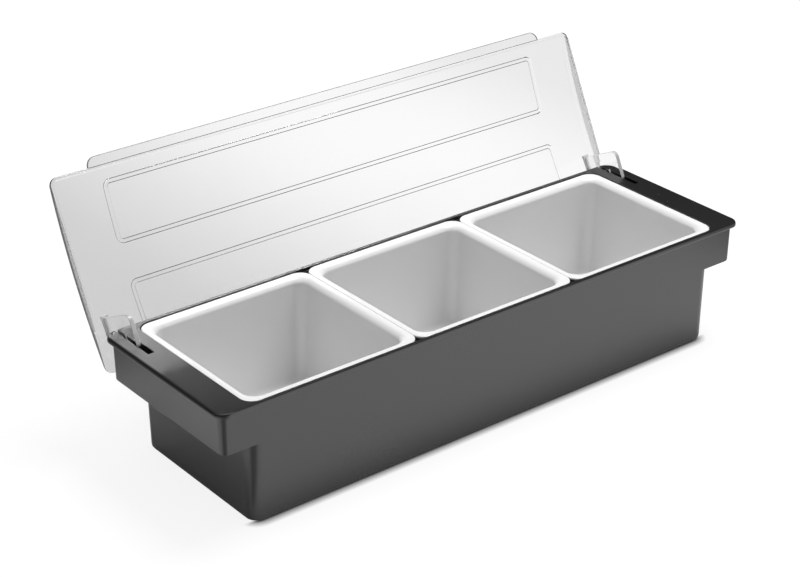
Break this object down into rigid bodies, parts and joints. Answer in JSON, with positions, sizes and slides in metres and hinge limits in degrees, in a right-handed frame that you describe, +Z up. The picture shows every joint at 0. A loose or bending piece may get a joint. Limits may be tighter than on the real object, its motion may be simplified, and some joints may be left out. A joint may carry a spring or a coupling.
{
  "type": "condiment caddy",
  "caption": "Long countertop condiment caddy: charcoal base with end shoulders, white lift-out food tubs side by side, and a clear arched lid that swings up on hinge arms.",
  "frame": {"origin": "middle of the base's underside, on the surface it stands on", "axes": "+X along the caddy's length (to the right seen from the front), +Y from front to back, +Z up"},
  "size_m": [0.49, 0.212, 0.2025],
  "materials": {
    "charcoal_plastic": "fine satin texture",
    "clear_plastic": "clear polished",
    "white_plastic": "glossy",
    "steel_pin": "ground"
  },
  "bodies": {
    "base": {"base_housing": "charcoal_plastic"},
    "lid": {"lid_panel": "clear_plastic", "left_hinge_arm": "clear_plastic", "right_hinge_arm": "clear_plastic"},
    "left_pin": {"left_hinge_pin": "steel_pin"},
    "right_pin": {"right_hinge_pin": "steel_pin"},
    "left_tub": {"left_tray": "white_plastic"},
    "middle_tub": {"middle_tray": "white_plastic"},
    "right_tub": {"right_tray": "white_plastic"}
  },
  "joints": [
    {"name": "lid_hinge", "type": "hinge", "parent": "base", "child": "lid", "pos_m": [0, 0.0644, 0.0852], "axis": [-1, 0, 0], "range_deg": [-116.2, 0]},
    {"name": "left_tray_lift", "type": "slide", "parent": "base", "child": "left_tub", "axis": [0, 0, 1], "range_m": [0, 0.1]},
    {"name": "middle_tray_lift", "type": "slide", "parent": "base", "child": "middle_tub", "axis": [0, 0, 1], "range_m": [0, 0.1]},
    {"name": "right_tray_lift", "type": "slide", "parent": "base", "child": "right_tub", "axis": [0, 0, 1], "range_m": [0, 0.1]},
    {"name": "left_pin_spin", "type": "hinge", "parent": "base", "child": "left_pin", "pos_m": [-0.2325, 0.0644, 0.0852], "axis": [1, 0, 0], "continuous": true},
    {"name": "right_pin_spin", "type": "hinge", "parent": "base", "child": "right_pin", "pos_m": [0.2325, 0.0644, 0.0852], "axis": [1, 0, 0], "continuous": true}
  ]
}
